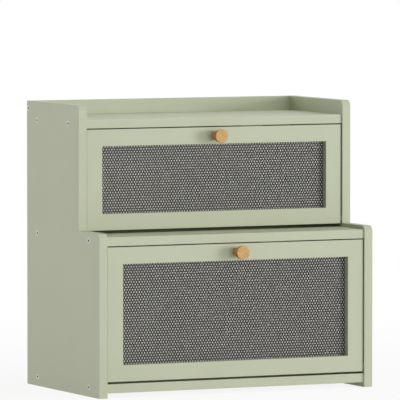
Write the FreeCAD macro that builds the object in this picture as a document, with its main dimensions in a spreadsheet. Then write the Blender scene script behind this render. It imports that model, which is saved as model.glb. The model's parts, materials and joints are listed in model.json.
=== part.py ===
# Two-tier bread box with two drop-down window doors: a parametric model, in millimetres.
#
# +X is right, +Y is back and +Z is up, so the doors face -Y. The origin is on the floor,
# under the middle of the outline, which runs from the knobs' faces to the rear edges.
import FreeCAD, Part
import os

import Sketcher
from FreeCAD import Placement, Rotation, Vector

# ---------------------------------------------------------------- driving dimensions

DIMENSIONS = (
    # carcass
    ("overall_width", 400, "outside of one side panel to the other"),
    ("overall_height", 381.5, "floor to the top of the side panels"),
    ("lower_depth", 237.6, "front to rear edge of a side panel, lower tier"),
    ("upper_depth", 171.3, "front to rear edge of a side panel, upper tier"),
    ("step_height", 216.3, "floor to the side panel's step"),
    ("corner_radius", 8, "rounded front corners of a side panel"),
    ("board", 12, "thickness of the side panels and the boards between them"),
    ("edge_round", 0.4, "eased edges of the painted boards"),
    ("front_setback", 2.5, "boards and doors stand this far behind the side panels' edges"),
    ("foot_height", 6.5, "floor to the underside of the bottom board"),
    ("shelf_lip", 5, "the step stands this far above the middle board"),
    ("gallery_height", 19, "the side panels and the rail stand this far above the top board"),
    ("rail_thickness", 9, "rail behind the top shelf"),
    ("rail_housing", 2, "step in the top board's rear edge that the rail stands in"),
    ("back_thickness", 3, "hardboard back"),
    ("back_inset", 6, "rear edge to the rear of the back's groove"),
    ("groove_depth", 4, "groove that holds the back"),
    ("groove_play", 0.2, "groove wider than the back, and the back short of its floor"),
    # fasteners of the carcass
    ("screw_diameter", 5, "shank of a carcass screw"),
    ("screw_head", 7.2, "countersunk head of a carcass screw"),
    ("screw_length", 35, "carcass screw, head to tip"),
    ("sink_play", 0.15, "radial clearance of the head in its countersink"),
    ("screw_edge", 34, "carcass screw to the side panel's front or rear edge"),
    ("rail_screw_drop", 10, "rail's screw below the top of the side panel"),
    ("screw_tip", 3, "length of a screw's point"),
    ("drive_size", 4, "hexagon socket, corner to corner"),
    ("drive_depth", 2.2, "depth of the hexagon socket"),
    ("dowel_diameter", 6, "dowel in the end of a board"),
    ("dowel_length", 24, "dowel in the end of a board"),
    ("dowel_in_side", 8, "dowel's length inside the side panel"),
    ("rail_dowel_diameter", 4, "dowel under the rail"),
    ("rail_dowel_length", 16, "dowel under the rail"),
    ("rail_dowel_in_board", 4, "rail's dowel inside the top board"),
    ("rail_dowel_inset", 70, "rail's dowel to the end of the rail"),
    ("hole_bottom", 0.5, "a blind hole is this much deeper than what it holds"),
    ("close_fit", 0.03, "radial clearance of what is fixed in its hole"),
    # doors
    ("door_thickness", 12, "routed door frame"),
    ("door_side_gap", 1.1, "door to side panel, each side"),
    ("door_top_gap", 1.35, "door to the board above it"),
    ("lower_bottom_gap", 2.55, "lower door to the bottom board"),
    ("upper_bottom_gap", 4.2, "upper door to the middle board"),
    ("stile_width", 22.3, "frame beside the window"),
    ("top_rail", 22.4, "frame above the window"),
    ("bottom_rail", 21.7, "frame below the window"),
    ("door_bottom_round", 0.6, "bottom edges that swing past the board below"),
    ("rebate_width", 6, "rebate round the back of the window opening"),
    ("rebate_depth", 3, "rebate round the back of the window opening"),
    ("sheet_thickness", 3, "patterned acrylic window"),
    ("sheet_play", 0.5, "window to the rebate's edge, all round"),
    ("clip_length", 13, "window clip, across the rebate's edge"),
    ("clip_width", 12, "window clip, along the rebate's edge"),
    ("clip_thickness", 1.5, "window clip"),
    ("clip_reach", 5, "window clip's hold on the acrylic"),
    ("clip_screw_edge", 4, "clip's screw to the clip's outer end"),
    ("clip_inset", 45, "upper and lower clips to the side of the opening"),
    ("small_screw", 2.4, "shank of the small pan-head screws"),
    ("small_head", 4.6, "head of the small pan-head screws"),
    ("small_head_height", 1.5, "head of the small pan-head screws"),
    ("small_screw_length", 8, "small screw below its head"),
    ("small_slot", 0.8, "driver slot of the small screws"),
    # hinges
    ("pin_diameter", 4, "hinge pin"),
    ("pin_setback", 6, "hinge pin behind the door's front"),
    ("pin_rise", 7, "hinge pin above the door's bottom edge"),
    ("pin_in_door", 14, "hinge pin's length inside the door"),
    ("pin_in_bush", 6.5, "hinge pin's length inside the side panel"),
    ("bush_diameter", 8, "nylon bush in the side panel"),
    ("bush_depth", 8, "nylon bush in the side panel"),
    ("bush_flange_diameter", 11, "nylon bush's flange"),
    ("bush_flange", 0.6, "thickness of the nylon bush's flange"),
    ("running_fit", 0.06, "radial clearance of the pin in its bush"),
    # knobs
    ("knob_projection", 21, "door's front to the knob's face"),
    ("knob_diameter", 18.4, "knob at its widest"),
    ("knob_base", 11.6, "knob against the door"),
    ("knob_neck_length", 2, "straight foot of the knob"),
    ("knob_head_length", 4.6, "rim of the knob, behind its face"),
    ("knob_round", 0.9, "rounding of the knob's rim"),
    ("knob_screw", 4, "machine screw into the knob"),
    ("knob_screw_bite", 11, "machine screw's length inside the knob"),
    ("knob_screw_head", 8, "pan head of the knob's screw"),
    ("knob_screw_head_height", 2.4, "pan head of the knob's screw"),
    ("knob_screw_tip", 0.5, "length of the machine screw's point"),
    ("washer_diameter", 10, "washer under the knob's screw"),
    ("washer_thickness", 0.8, "washer under the knob's screw"),
    # magnetic catches
    ("catch_offset", 60, "catch to the right of the middle"),
    ("catch_width", 18, "plastic block that holds the magnet"),
    ("catch_depth", 10, "plastic block that holds the magnet"),
    ("catch_height", 13, "plastic block that holds the magnet"),
    ("catch_screw_side", 4, "side of the block to the middle of its screw"),
    ("catch_ear_end", 4.5, "middle of the screw to the end of the block's ear"),
    ("catch_ear_height", 2.5, "ears of the plastic block"),
    ("magnet_width", 12, "magnet"),
    ("magnet_depth", 4, "magnet"),
    ("magnet_height", 8, "magnet"),
    ("catch_gap", 0.3, "closed door's plate to the magnet"),
    ("plate_end", 4, "middle of a plate's screw to the plate's end"),
    ("plate_height", 10, "steel plate on the door"),
    ("plate_thickness", 1, "steel plate on the door"),
    ("plate_drop", 6.5, "middle of the plate below the door's top edge"),
)

doc = FreeCAD.newDocument("BreadBox")
sheet = doc.addObject("Spreadsheet::Sheet", "dims")
for row, (alias, size, meaning) in enumerate(DIMENSIONS, 1):
    sheet.set(f"A{row}", alias)
    sheet.set(f"B{row}", str(size))
    sheet.set(f"C{row}", meaning)
    sheet.setAlias(f"B{row}", alias)
doc.recompute()

# ---------------------------------------------------------------- places, as expressions

FRONT_Y = "(-(dims.lower_depth - dims.knob_projection + dims.front_setback) / 2)"
REAR_Y = f"({FRONT_Y} + dims.lower_depth)"
INNER_WIDTH = "(dims.overall_width - 2 * dims.board)"
STEP_BACK = "(dims.lower_depth - dims.upper_depth)"
GROOVE_WIDTH = "(dims.back_thickness + dims.groove_play)"
GROOVE_FRONT = f"(dims.lower_depth - dims.back_inset - {GROOVE_WIDTH})"
BOTTOM_BOARD_Z = "dims.foot_height"
MIDDLE_BOARD_Z = "(dims.step_height - dims.shelf_lip - dims.board)"
TOP_BOARD_Z = "(dims.overall_height - dims.gallery_height - dims.board)"
LOWER_FRONT = "dims.front_setback"
UPPER_FRONT = f"({STEP_BACK} + dims.front_setback)"
REAR_SCREW = "(dims.lower_depth - dims.screw_edge)"
SCREW_IN_BOARD = "(dims.screw_length - dims.board)"
DOOR_WIDTH = f"({INNER_WIDTH} - 2 * dims.door_side_gap)"
WINDOW_WIDTH = f"({DOOR_WIDTH} - 2 * dims.stile_width)"
CATCH_MIDDLE = "(dims.plate_thickness + dims.catch_gap + dims.catch_depth / 2)"
CATCH_SCREW_X = "(dims.catch_width / 2 + dims.catch_screw_side)"
CATCH_SCREWS = {"left": f"(dims.catch_offset - {CATCH_SCREW_X})",
                "right": f"(dims.catch_offset + {CATCH_SCREW_X})"}
RAIL_DOWEL_X = f"({INNER_WIDTH} / 2 - dims.rail_dowel_inset)"
RAIL_Z = f"({TOP_BOARD_Z} + dims.board - dims.rail_housing)"
RAIL_HEIGHT = "(dims.gallery_height + dims.rail_housing)"

TOUCH = 0.001  # lengths and volumes closer than this count as equal

START, END, CENTRE = 1, 2, 3
HORIZONTAL_AXIS, VERTICAL_AXIS = -1, -2


class Tier:
    """One compartment's doorway: its front and its two boards, as expressions."""

    def __init__(self, name, front, floor, gap, ceiling):
        self.name = name
        self.front = front
        self.ceiling = ceiling
        self.door_bottom = f"({floor} + {gap})"
        self.door_top = f"({ceiling} - dims.door_top_gap)"
        self.door_height = f"({self.door_top} - {self.door_bottom})"
        self.window_height = f"({self.door_height} - dims.top_rail - dims.bottom_rail)"
        self.front_y = f"({FRONT_Y} + {front})"
        self.rear_y = f"({self.front_y} + dims.door_thickness)"
        self.pin_y = f"({front} + dims.pin_setback)"
        self.pin_z = f"({self.door_bottom} + dims.pin_rise)"


LOWER = Tier("lower", LOWER_FRONT, f"({BOTTOM_BOARD_Z} + dims.board)",
             "dims.lower_bottom_gap", MIDDLE_BOARD_Z)
UPPER = Tier("upper", UPPER_FRONT, f"({MIDDLE_BOARD_Z} + dims.board)",
             "dims.upper_bottom_gap", TOP_BOARD_Z)

# Each board's own front, height above the floor, and front screw along the side panel.
BOARDS = {
    "bottom": (LOWER_FRONT, BOTTOM_BOARD_Z, "dims.screw_edge"),
    "middle": (LOWER_FRONT, MIDDLE_BOARD_Z, "dims.screw_edge"),
    "top": (UPPER_FRONT, TOP_BOARD_Z, f"({STEP_BACK} + dims.screw_edge)"),
}
RAIL_SCREW = ("(dims.lower_depth - dims.rail_thickness / 2)",
              "(dims.overall_height - dims.rail_screw_drop)")

# ---------------------------------------------------------------- modelling helpers

nodes = []


def value_of(expression):
    """Work an expression out, for the first guess of a sketch's solver."""
    return float(sheet.evalExpression(expression))


def node(item):
    """Note an object as one of the kept nodes; its Label is the node's name."""
    nodes.append(item)
    return item


def new_body(name):
    """Start a solid piece."""
    body = doc.addObject("PartDesign::Body", name)
    body.Label = name
    return body


def place(item, x, y, z, rotation=None):
    """Bind an object's place to three expressions; its turn is fixed."""
    if rotation:
        item.Placement = Placement(Vector(), rotation)
    for axis, expression in zip("xyz", (x, y, z)):
        item.setExpression(f"Placement.Base.{axis}", expression)
    return item


def plane_of(body, role):
    """Find one of a body's own origin planes."""
    return next(item for item in body.Origin.OriginFeatures if item.Role == role)


def new_sketch(body, name, role, x="0", y="0", z="0"):
    """Put a sketch on an origin plane, moved by x and y within it and by z off it."""
    sketch = body.newObject("Sketcher::SketchObject", name)
    sketch.AttachmentSupport = (plane_of(body, role), [""])
    sketch.MapMode = "FlatFace"
    for axis, expression in zip("xyz", (x, y, z)):
        sketch.setExpression(f"AttachmentOffset.Base.{axis}", expression)
    return sketch


def hold(sketch, kind, name, expression, *where):
    """Add a named dimension that follows an expression."""
    index = sketch.addConstraint(Sketcher.Constraint(kind, *where, value_of(expression)))
    sketch.renameConstraint(index, name)
    sketch.setExpression(f"Constraints.{name}", expression)


def fix_point(sketch, name, geometry, point, x, y):
    """Hold a point at x and y from the sketch's origin; "0" is on the axis itself."""
    for axis, kind, line, expression in (("x", "DistanceX", VERTICAL_AXIS, x),
                                         ("y", "DistanceY", HORIZONTAL_AXIS, y)):
        if expression == "0":
            sketch.addConstraint(Sketcher.Constraint("PointOnObject", geometry, point, line))
        else:
            hold(sketch, kind, f"{name}_{axis}", expression, -1, 1, geometry, point)


def outline(sketch, points):
    """Draw a closed outline of straight lines through (x, y) expressions."""
    corners = [Vector(value_of(x), value_of(y), 0) for x, y in points]
    count = len(points)
    for number in range(count):
        sketch.addGeometry(Part.LineSegment(corners[number], corners[(number + 1) % count]))
    for number, (x, y) in enumerate(points):
        sketch.addConstraint(Sketcher.Constraint("Coincident", number - 1 if number else count - 1,
                                                 END, number, START))
        fix_point(sketch, f"point{number}", number, START, x, y)


def rectangle(sketch, name, left, bottom, width, height):
    """Draw a rectangle from its lower left corner."""
    first = sketch.GeometryCount
    low = Vector(value_of(left), value_of(bottom), 0)
    right = low + Vector(value_of(width), 0, 0)
    high = right + Vector(0, value_of(height), 0)
    corners = (low, right, high, Vector(low.x, high.y, 0))
    for side in range(4):
        sketch.addGeometry(Part.LineSegment(corners[side], corners[(side + 1) % 4]))
    for side in range(4):
        after = first + (side + 1) % 4
        sketch.addConstraint(Sketcher.Constraint("Coincident", first + side, END, after, START))
        direction = "Vertical" if side % 2 else "Horizontal"
        sketch.addConstraint(Sketcher.Constraint(direction, first + side))
    fix_point(sketch, name, first, START, left, bottom)
    hold(sketch, "DistanceX", f"{name}_width", width, first, START, first, END)
    hold(sketch, "DistanceY", f"{name}_height", height, first + 1, START, first + 1, END)


def circle(sketch, name, x, y, diameter):
    """Draw a circle round a centre."""
    index = sketch.GeometryCount
    centre = Vector(value_of(x), value_of(y), 0)
    sketch.addGeometry(Part.Circle(centre, Vector(0, 0, 1), value_of(diameter) / 2))
    hold(sketch, "Diameter", f"{name}_diameter", diameter, index)
    fix_point(sketch, name, index, CENTRE, x, y)


def pad(body, sketch, length, reverse=False):
    """Raise a sketch along its normal, or against it."""
    feature = body.newObject("PartDesign::Pad", f"{sketch.Name}_pad")
    feature.Profile = sketch
    feature.Reversed = reverse
    feature.setExpression("Length", length)
    doc.recompute()
    return feature


def pocket(body, sketch, depth, forward=False):
    """Sink a sketch against its normal, or along it, and see that it cut something."""
    before = body.Shape.Volume
    feature = body.newObject("PartDesign::Pocket", f"{sketch.Name}_pocket")
    feature.Profile = sketch
    feature.Reversed = forward
    feature.setExpression("Length", depth)
    doc.recompute()
    if body.Shape.Volume > before - TOUCH:
        raise RuntimeError(f"{sketch.Name} cuts nothing")
    return feature


def turn(body, sketch):
    """Revolve a sketch round its own vertical axis."""
    feature = body.newObject("PartDesign::Revolution", f"{sketch.Name}_turned")
    feature.Profile = sketch
    feature.ReferenceAxis = (sketch, ["V_Axis"])
    feature.Angle = 360
    doc.recompute()
    return feature


def mirror_ends(body, name, features):
    """Repeat features at the other end of a piece that is centred on its own X = 0."""
    mirrored = body.newObject("PartDesign::Mirrored", name)
    mirrored.Originals = features
    mirrored.MirrorPlane = (plane_of(body, "YZ_Plane"), [""])
    body.Tip = mirrored
    doc.recompute()
    return mirrored


def round_edges(body, name, radius, chosen):
    """Fillet the edges of the last feature that a test picks."""
    base = body.Tip
    picked = [f"Edge{number}" for number, edge in enumerate(base.Shape.Edges, 1) if chosen(edge)]
    fillet = body.newObject("PartDesign::Fillet", name)
    fillet.Base = (base, picked)
    fillet.setExpression("Radius", radius)
    doc.recompute()
    return fillet


def in_plane(edge, axis, position):
    """Tell whether an edge lies wholly at one position along X, Y or Z."""
    box = edge.BoundBox
    low, high = getattr(box, f"{axis}Min"), getattr(box, f"{axis}Max")
    return abs(low - position) < TOUCH and abs(high - position) < TOUCH


def along_x(edge):
    """Tell whether an edge runs straight along X."""
    return edge.BoundBox.YLength < TOUCH and edge.BoundBox.ZLength < TOUCH


def copies(name, original, places):
    """Group linked copies of a piece, as separate solids, under one node."""
    links = []
    for number, (x, y, z, rotation) in enumerate(places, 1):
        link = doc.addObject("App::Link", f"{name}_{number}")
        link.LinkedObject = original
        links.append(place(link, x, y, z, rotation))
    group = doc.addObject("Part::Compound", name)
    group.Label = name
    group.Links = links
    return group


def mirror_image(name, original):
    """Make the other hand of an object, across the middle of the box."""
    image = doc.addObject("Part::Mirroring", name)
    image.Label = name
    image.Source = original
    image.Normal = Vector(1, 0, 0)
    return image


# Turns that point a piece's own +Z along another direction.
TO_RIGHT = Rotation(Vector(0, 1, 0), 90)
TO_LEFT = Rotation(Vector(0, 1, 0), -90)
TO_BACK = Rotation(Vector(1, 0, 0), -90)
TO_FRONT = Rotation(Vector(1, 0, 0), 90)

# ---------------------------------------------------------------- fasteners, driven along +Z


def make_carcass_screw():
    """Countersunk wood screw with a hexagon socket; the head's face is at Z = 0."""
    body = new_body("carcass_screw")
    sketch = new_sketch(body, "carcass_screw_profile", "XZ_Plane")
    shank = "dims.screw_diameter / 2"
    outline(sketch, (("0", "0"), ("dims.screw_head / 2", "0"),
                     (shank, "(dims.screw_head - dims.screw_diameter) / 2"),
                     (shank, "dims.screw_length - dims.screw_tip"),
                     ("0", "dims.screw_length")))
    turn(body, sketch)
    socket = body.newObject("PartDesign::SubtractivePrism", "carcass_screw_socket")
    socket.Polygon = 6
    socket.setExpression("Circumradius", "dims.drive_size / 2")
    socket.setExpression("Height", "dims.drive_depth")
    return body


def make_pan_screw(name, diameter, length, head, head_height, tip):
    """Pan-head screw with a driver slot; Z = 0 is the face under its head."""
    body = new_body(name)
    sketch = new_sketch(body, f"{name}_profile", "XZ_Plane", y=f"-({head_height})")
    end = f"{head_height} + {length}"
    points = [("0", "0"), (f"{head} / 2 - {head_height} / 3", "0"),
              (f"{head} / 2", f"{head_height} / 2"), (f"{head} / 2", head_height),
              (f"{diameter} / 2", head_height), (f"{diameter} / 2", f"{end} - {tip}"),
              ("0", end)]
    outline(sketch, points)
    turn(body, sketch)
    slot = new_sketch(body, f"{name}_slot", "XY_Plane", x=f"-{head}",
                      y="-dims.small_slot / 2", z=f"-({head_height})")
    rectangle(slot, "slot", "0", "0", f"2 * {head}", "dims.small_slot")
    pocket(body, slot, f"{head_height} / 2", forward=True)
    return body


def make_dowel(name, diameter, length):
    """Plain dowel that stands on Z = 0, with eased ends."""
    body = new_body(name)
    sketch = new_sketch(body, f"{name}_profile", "XY_Plane")
    circle(sketch, "dowel", "0", "0", diameter)
    pad(body, sketch, length)
    ends = (0, value_of(length))
    round_edges(body, f"{name}_ends", "dims.edge_round",
                lambda edge: any(in_plane(edge, "Z", end) for end in ends))
    return body


carcass_screw = make_carcass_screw()
small_screw = make_pan_screw("small_screw", "dims.small_screw", "dims.small_screw_length",
                             "dims.small_head", "dims.small_head_height", "dims.small_screw / 2")
board_dowel = make_dowel("board_dowel", "dims.dowel_diameter", "dims.dowel_length")
rail_dowel = make_dowel("rail_dowel", "dims.rail_dowel_diameter", "dims.rail_dowel_length")

# ---------------------------------------------------------------- side panels


def panel_outline(sketch):
    """Draw the stepped side: straight edges, with an arc at each of its two front corners."""
    radius = "dims.corner_radius"
    depth, height = "dims.lower_depth", "dims.overall_height"
    step, step_back = "dims.step_height", STEP_BACK
    ends = [("0", "0"), ("0", f"{step} - {radius}"), (radius, step), (step_back, step),
            (step_back, f"{height} - {radius}"), (f"{step_back} + {radius}", height),
            (depth, height), (depth, "0")]
    arcs = {1: (radius, f"{step} - {radius}"), 4: (f"{step_back} + {radius}", f"{height} - {radius}")}
    points = [Vector(value_of(x), value_of(y), 0) for x, y in ends]
    for number, start in enumerate(points):
        finish = points[(number + 1) % len(points)]
        if number in arcs:
            centre = Vector(value_of(arcs[number][0]), value_of(arcs[number][1]), 0)
            middle = centre + Vector(-1, 1, 0).normalize() * value_of(radius)
            sketch.addGeometry(Part.Arc(start, middle, finish))
        else:
            sketch.addGeometry(Part.LineSegment(start, finish))
    for number in range(len(points)):
        after = (number + 1) % len(points)
        # A three-point arc that turns clockwise is stored with its ends swapped.
        leaving = START if number in arcs else END
        entering = END if after in arcs else START
        sketch.addConstraint(Sketcher.Constraint("Coincident", number, leaving, after, entering))
    for number, (x, y) in enumerate(ends):
        entering = END if number in arcs else START
        fix_point(sketch, f"point{number}", number, entering, x, y)
    for number in arcs:
        hold(sketch, "Radius", f"corner{number}", radius, number)


def make_left_side():
    """Left side panel: its outer face is at its own X = 0, and its front edge at Y = 0."""
    body = new_body("left_side_panel")
    profile = new_sketch(body, "side_outline", "YZ_Plane")
    panel_outline(profile)
    pad(body, profile, "dims.board")
    faces = (0, value_of("dims.board"))
    round_edges(body, "side_eased_edges", "dims.edge_round",
                lambda edge: any(in_plane(edge, "X", face) for face in faces))

    screws = new_sketch(body, "side_screw_holes", "YZ_Plane")
    hole = "dims.screw_diameter + 2 * dims.close_fit"
    for name, (_, z, front_screw) in BOARDS.items():
        for end, y in (("front", front_screw), ("rear", REAR_SCREW)):
            circle(screws, f"{name}_{end}", y, f"{z} + dims.board / 2", hole)
    circle(screws, "rail", *RAIL_SCREW, hole)
    doc.recompute()
    drilled = body.newObject("PartDesign::Hole", "side_screw_drilling")
    drilled.Profile = screws
    drilled.Reversed = True
    drilled.ThreadType = "None"
    drilled.DepthType = "ThroughAll"
    drilled.HoleCutType = "Countersink"
    drilled.HoleCutCustomValues = True
    drilled.HoleCutCountersinkAngle = 90
    drilled.setExpression("Diameter", hole)
    drilled.setExpression("HoleCutDiameter", "dims.screw_head + 2 * dims.sink_play")
    doc.recompute()

    dowels = new_sketch(body, "side_dowel_holes", "YZ_Plane", z="dims.board")
    for name, (_, z, front_screw) in BOARDS.items():
        circle(dowels, name, f"({front_screw} + {REAR_SCREW}) / 2", f"{z} + dims.board / 2",
               "dims.dowel_diameter + 2 * dims.close_fit")
    pocket(body, dowels, "dims.dowel_in_side + dims.hole_bottom")

    bushes = new_sketch(body, "side_bush_holes", "YZ_Plane", z="dims.board")
    for tier in (LOWER, UPPER):
        circle(bushes, tier.name, tier.pin_y, tier.pin_z, "dims.bush_diameter + 2 * dims.close_fit")
    pocket(body, bushes, "dims.bush_depth + dims.hole_bottom")

    groove = new_sketch(body, "side_groove", "YZ_Plane", z="dims.board")
    low = f"({BOTTOM_BOARD_Z} + dims.board - dims.groove_depth)"
    rectangle(groove, "groove", GROOVE_FRONT, low, GROOVE_WIDTH,
              f"{TOP_BOARD_Z} + dims.groove_depth - {low}")
    pocket(body, groove, "dims.groove_depth")
    return place(body, "-dims.overall_width / 2", FRONT_Y, "0")


left_side = node(make_left_side())
node(mirror_image("right_side_panel", left_side))

# ---------------------------------------------------------------- boards between the sides


def make_board(name):
    """Cross board: its own X = 0 is its middle, Y = 0 its front and Z = 0 its underside."""
    front, z, front_screw = BOARDS[name]
    rear = GROOVE_FRONT if name == "middle" else "dims.lower_depth"
    body = new_body(f"{name}_board")
    blank = new_sketch(body, f"{name}_blank", "XY_Plane", x=f"-{INNER_WIDTH} / 2")
    rectangle(blank, "blank", "0", "0", INNER_WIDTH, f"{rear} - {front}")
    pad(body, blank, "dims.board")
    round_edges(body, f"{name}_eased_edges", "dims.edge_round", along_x)

    screws = new_sketch(body, f"{name}_screw_holes", "YZ_Plane", z=f"-{INNER_WIDTH} / 2")
    for end, y in (("front", front_screw), ("rear", REAR_SCREW)):
        circle(screws, end, f"{y} - {front}", "dims.board / 2",
               "dims.screw_diameter + 2 * dims.close_fit")
    screw_holes = pocket(body, screws, f"{SCREW_IN_BOARD} + dims.hole_bottom", forward=True)
    dowels = new_sketch(body, f"{name}_dowel_holes", "YZ_Plane", z=f"-{INNER_WIDTH} / 2")
    circle(dowels, "dowel", f"({front_screw} + {REAR_SCREW}) / 2 - {front}", "dims.board / 2",
           "dims.dowel_diameter + 2 * dims.close_fit")
    dowel_holes = pocket(body, dowels, "dims.dowel_length - dims.dowel_in_side + dims.hole_bottom",
                         forward=True)
    mirror_ends(body, f"{name}_other_end", [screw_holes, dowel_holes])
    return place(body, "0", f"{FRONT_Y} + {front}", z)


def cut_back_groove(body, name, face, downward):
    """Groove a board's top or underside, along its whole length, for the back."""
    front = BOARDS[name][0]
    groove = new_sketch(body, f"{name}_groove", "XY_Plane", x=f"-{INNER_WIDTH} / 2", z=face)
    rectangle(groove, "groove", "0", f"{GROOVE_FRONT} - {front}", INNER_WIDTH, GROOVE_WIDTH)
    pocket(body, groove, "dims.groove_depth", forward=not downward)


def drill_for_catch(body, tier, front):
    """Pilot holes for a catch's two screws, up into the board above the door."""
    holes = new_sketch(body, f"{tier.name}_catch_holes", "XY_Plane")
    y = f"{tier.front} + dims.door_thickness + {CATCH_MIDDLE} - {front}"
    for end, x in CATCH_SCREWS.items():
        circle(holes, end, x, y, "dims.small_screw + 2 * dims.close_fit")
    depth = "dims.small_screw_length - dims.catch_ear_height + dims.hole_bottom"
    pocket(body, holes, depth, forward=True)


bottom_board = node(make_board("bottom"))
cut_back_groove(bottom_board, "bottom", "dims.board", downward=True)

middle_board = node(make_board("middle"))
drill_for_catch(middle_board, LOWER, LOWER_FRONT)

top_board = node(make_board("top"))
cut_back_groove(top_board, "top", "0", downward=False)
drill_for_catch(top_board, UPPER, UPPER_FRONT)
housing = new_sketch(top_board, "top_rail_housing", "XY_Plane", x=f"-{INNER_WIDTH} / 2",
                     z="dims.board")
rectangle(housing, "housing", "0", f"dims.lower_depth - dims.rail_thickness - {UPPER_FRONT}",
          INNER_WIDTH, "dims.rail_thickness")
pocket(top_board, housing, "dims.rail_housing")
rail_holes = new_sketch(top_board, "top_rail_dowel_holes", "XY_Plane",
                        z="dims.board - dims.rail_housing")
circle(rail_holes, "right", RAIL_DOWEL_X,
       f"dims.lower_depth - dims.rail_thickness / 2 - {UPPER_FRONT}",
       "dims.rail_dowel_diameter + 2 * dims.close_fit")
rail_pocket = pocket(top_board, rail_holes, "dims.rail_dowel_in_board + dims.hole_bottom")
mirror_ends(top_board, "top_rail_other_dowel", [rail_pocket])


def make_back():
    """Thin back, held in the grooves all round."""
    body = new_body("back_panel")
    reach = "(dims.groove_depth - dims.groove_play)"
    width = f"({INNER_WIDTH} + 2 * {reach})"
    low = f"({BOTTOM_BOARD_Z} + dims.board - {reach})"
    blank = new_sketch(body, "back_blank", "XZ_Plane", x=f"-{width} / 2")
    rectangle(blank, "blank", "0", "0", width, f"{TOP_BOARD_Z} + {reach} - {low}")
    pad(body, blank, "dims.back_thickness", reverse=True)
    return place(body, "0", f"{FRONT_Y} + {GROOVE_FRONT} + dims.groove_play / 2", low)


def make_rail():
    """Rail behind the top shelf, between the side panels, in the top board's housing."""
    body = new_body("back_rail")
    blank = new_sketch(body, "rail_blank", "XY_Plane", x=f"-{INNER_WIDTH} / 2")
    rectangle(blank, "blank", "0", "0", INNER_WIDTH, "dims.rail_thickness")
    pad(body, blank, RAIL_HEIGHT)
    top = value_of(RAIL_HEIGHT)
    round_edges(body, "rail_eased_edges", "dims.edge_round",
                lambda edge: along_x(edge) and in_plane(edge, "Z", top))
    screw = new_sketch(body, "rail_screw_hole", "YZ_Plane", z=f"-{INNER_WIDTH} / 2")
    circle(screw, "screw", "dims.rail_thickness / 2", f"{RAIL_HEIGHT} - dims.rail_screw_drop",
           "dims.screw_diameter + 2 * dims.close_fit")
    screw_hole = pocket(body, screw, f"{SCREW_IN_BOARD} + dims.hole_bottom", forward=True)
    dowel = new_sketch(body, "rail_dowel_hole", "XY_Plane")
    circle(dowel, "dowel", RAIL_DOWEL_X, "dims.rail_thickness / 2",
           "dims.rail_dowel_diameter + 2 * dims.close_fit")
    dowel_hole = pocket(body, dowel, "dims.rail_dowel_length - dims.rail_dowel_in_board"
                        " + dims.hole_bottom", forward=True)
    mirror_ends(body, "rail_other_end", [screw_hole, dowel_hole])
    return place(body, "0", f"{REAR_Y} - dims.rail_thickness", RAIL_Z)


node(make_back())
node(make_rail())

# ---------------------------------------------------------------- carcass fasteners

screw_places = [(y, f"{z} + dims.board / 2")
                for _, z, front_screw in BOARDS.values() for y in (front_screw, REAR_SCREW)]
left_screws = node(copies("left_side_screws", carcass_screw, [
    ("-dims.overall_width / 2", f"{FRONT_Y} + {y}", z, TO_RIGHT)
    for y, z in screw_places + [RAIL_SCREW]]))
node(mirror_image("right_side_screws", left_screws))

left_dowels = node(copies("left_dowels", board_dowel, [
    ("-dims.overall_width / 2 + dims.board - dims.dowel_in_side",
     f"{FRONT_Y} + ({front_screw} + {REAR_SCREW}) / 2", f"{z} + dims.board / 2", TO_RIGHT)
    for _, z, front_screw in BOARDS.values()]))
node(mirror_image("right_dowels", left_dowels))

node(copies("rail_dowels", rail_dowel, [
    (f"{sign}{RAIL_DOWEL_X}", f"{REAR_Y} - dims.rail_thickness / 2",
     f"{RAIL_Z} - dims.rail_dowel_in_board", None) for sign in ("-", "")]))

# ---------------------------------------------------------------- hinges


def make_bush():
    """Flanged bush that goes into a side panel along its own +Z, from its flange's face."""
    body = new_body("hinge_bush")
    sketch = new_sketch(body, "hinge_bush_profile", "XZ_Plane")
    bore = "dims.pin_diameter / 2 + dims.running_fit"
    barrel, flange = "dims.bush_diameter / 2", "dims.bush_flange_diameter / 2"
    length = "dims.bush_flange + dims.bush_depth"
    outline(sketch, ((bore, "0"), (flange, "0"), (flange, "dims.bush_flange"),
                     (barrel, "dims.bush_flange"), (barrel, length), (bore, length)))
    turn(body, sketch)
    return body


hinge_bush = make_bush()
hinge_pin = make_dowel("hinge_pin", "dims.pin_diameter",
                       "dims.pin_in_bush + dims.door_side_gap + dims.pin_in_door")


def hinge_pair(name, original, x, left, right, tier):
    """Two pieces on a door's hinge axis, the left one at x and the right one across from it."""
    y, z = f"{FRONT_Y} + {tier.pin_y}", tier.pin_z
    node(copies(name, original, [(x, y, z, left), (f"-({x})", y, z, right)]))


def make_hinge(tier):
    """Bushes in the side panels and pins in the door."""
    face = "-dims.overall_width / 2 + dims.board"
    hinge_pair(f"{tier.name}_hinge_bushes", hinge_bush, f"{face} + dims.bush_flange",
               TO_LEFT, TO_RIGHT, tier)
    hinge_pair(f"{tier.name}_hinge_pins", hinge_pin, f"{face} - dims.pin_in_bush",
               TO_RIGHT, TO_LEFT, tier)


# ---------------------------------------------------------------- doors


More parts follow.
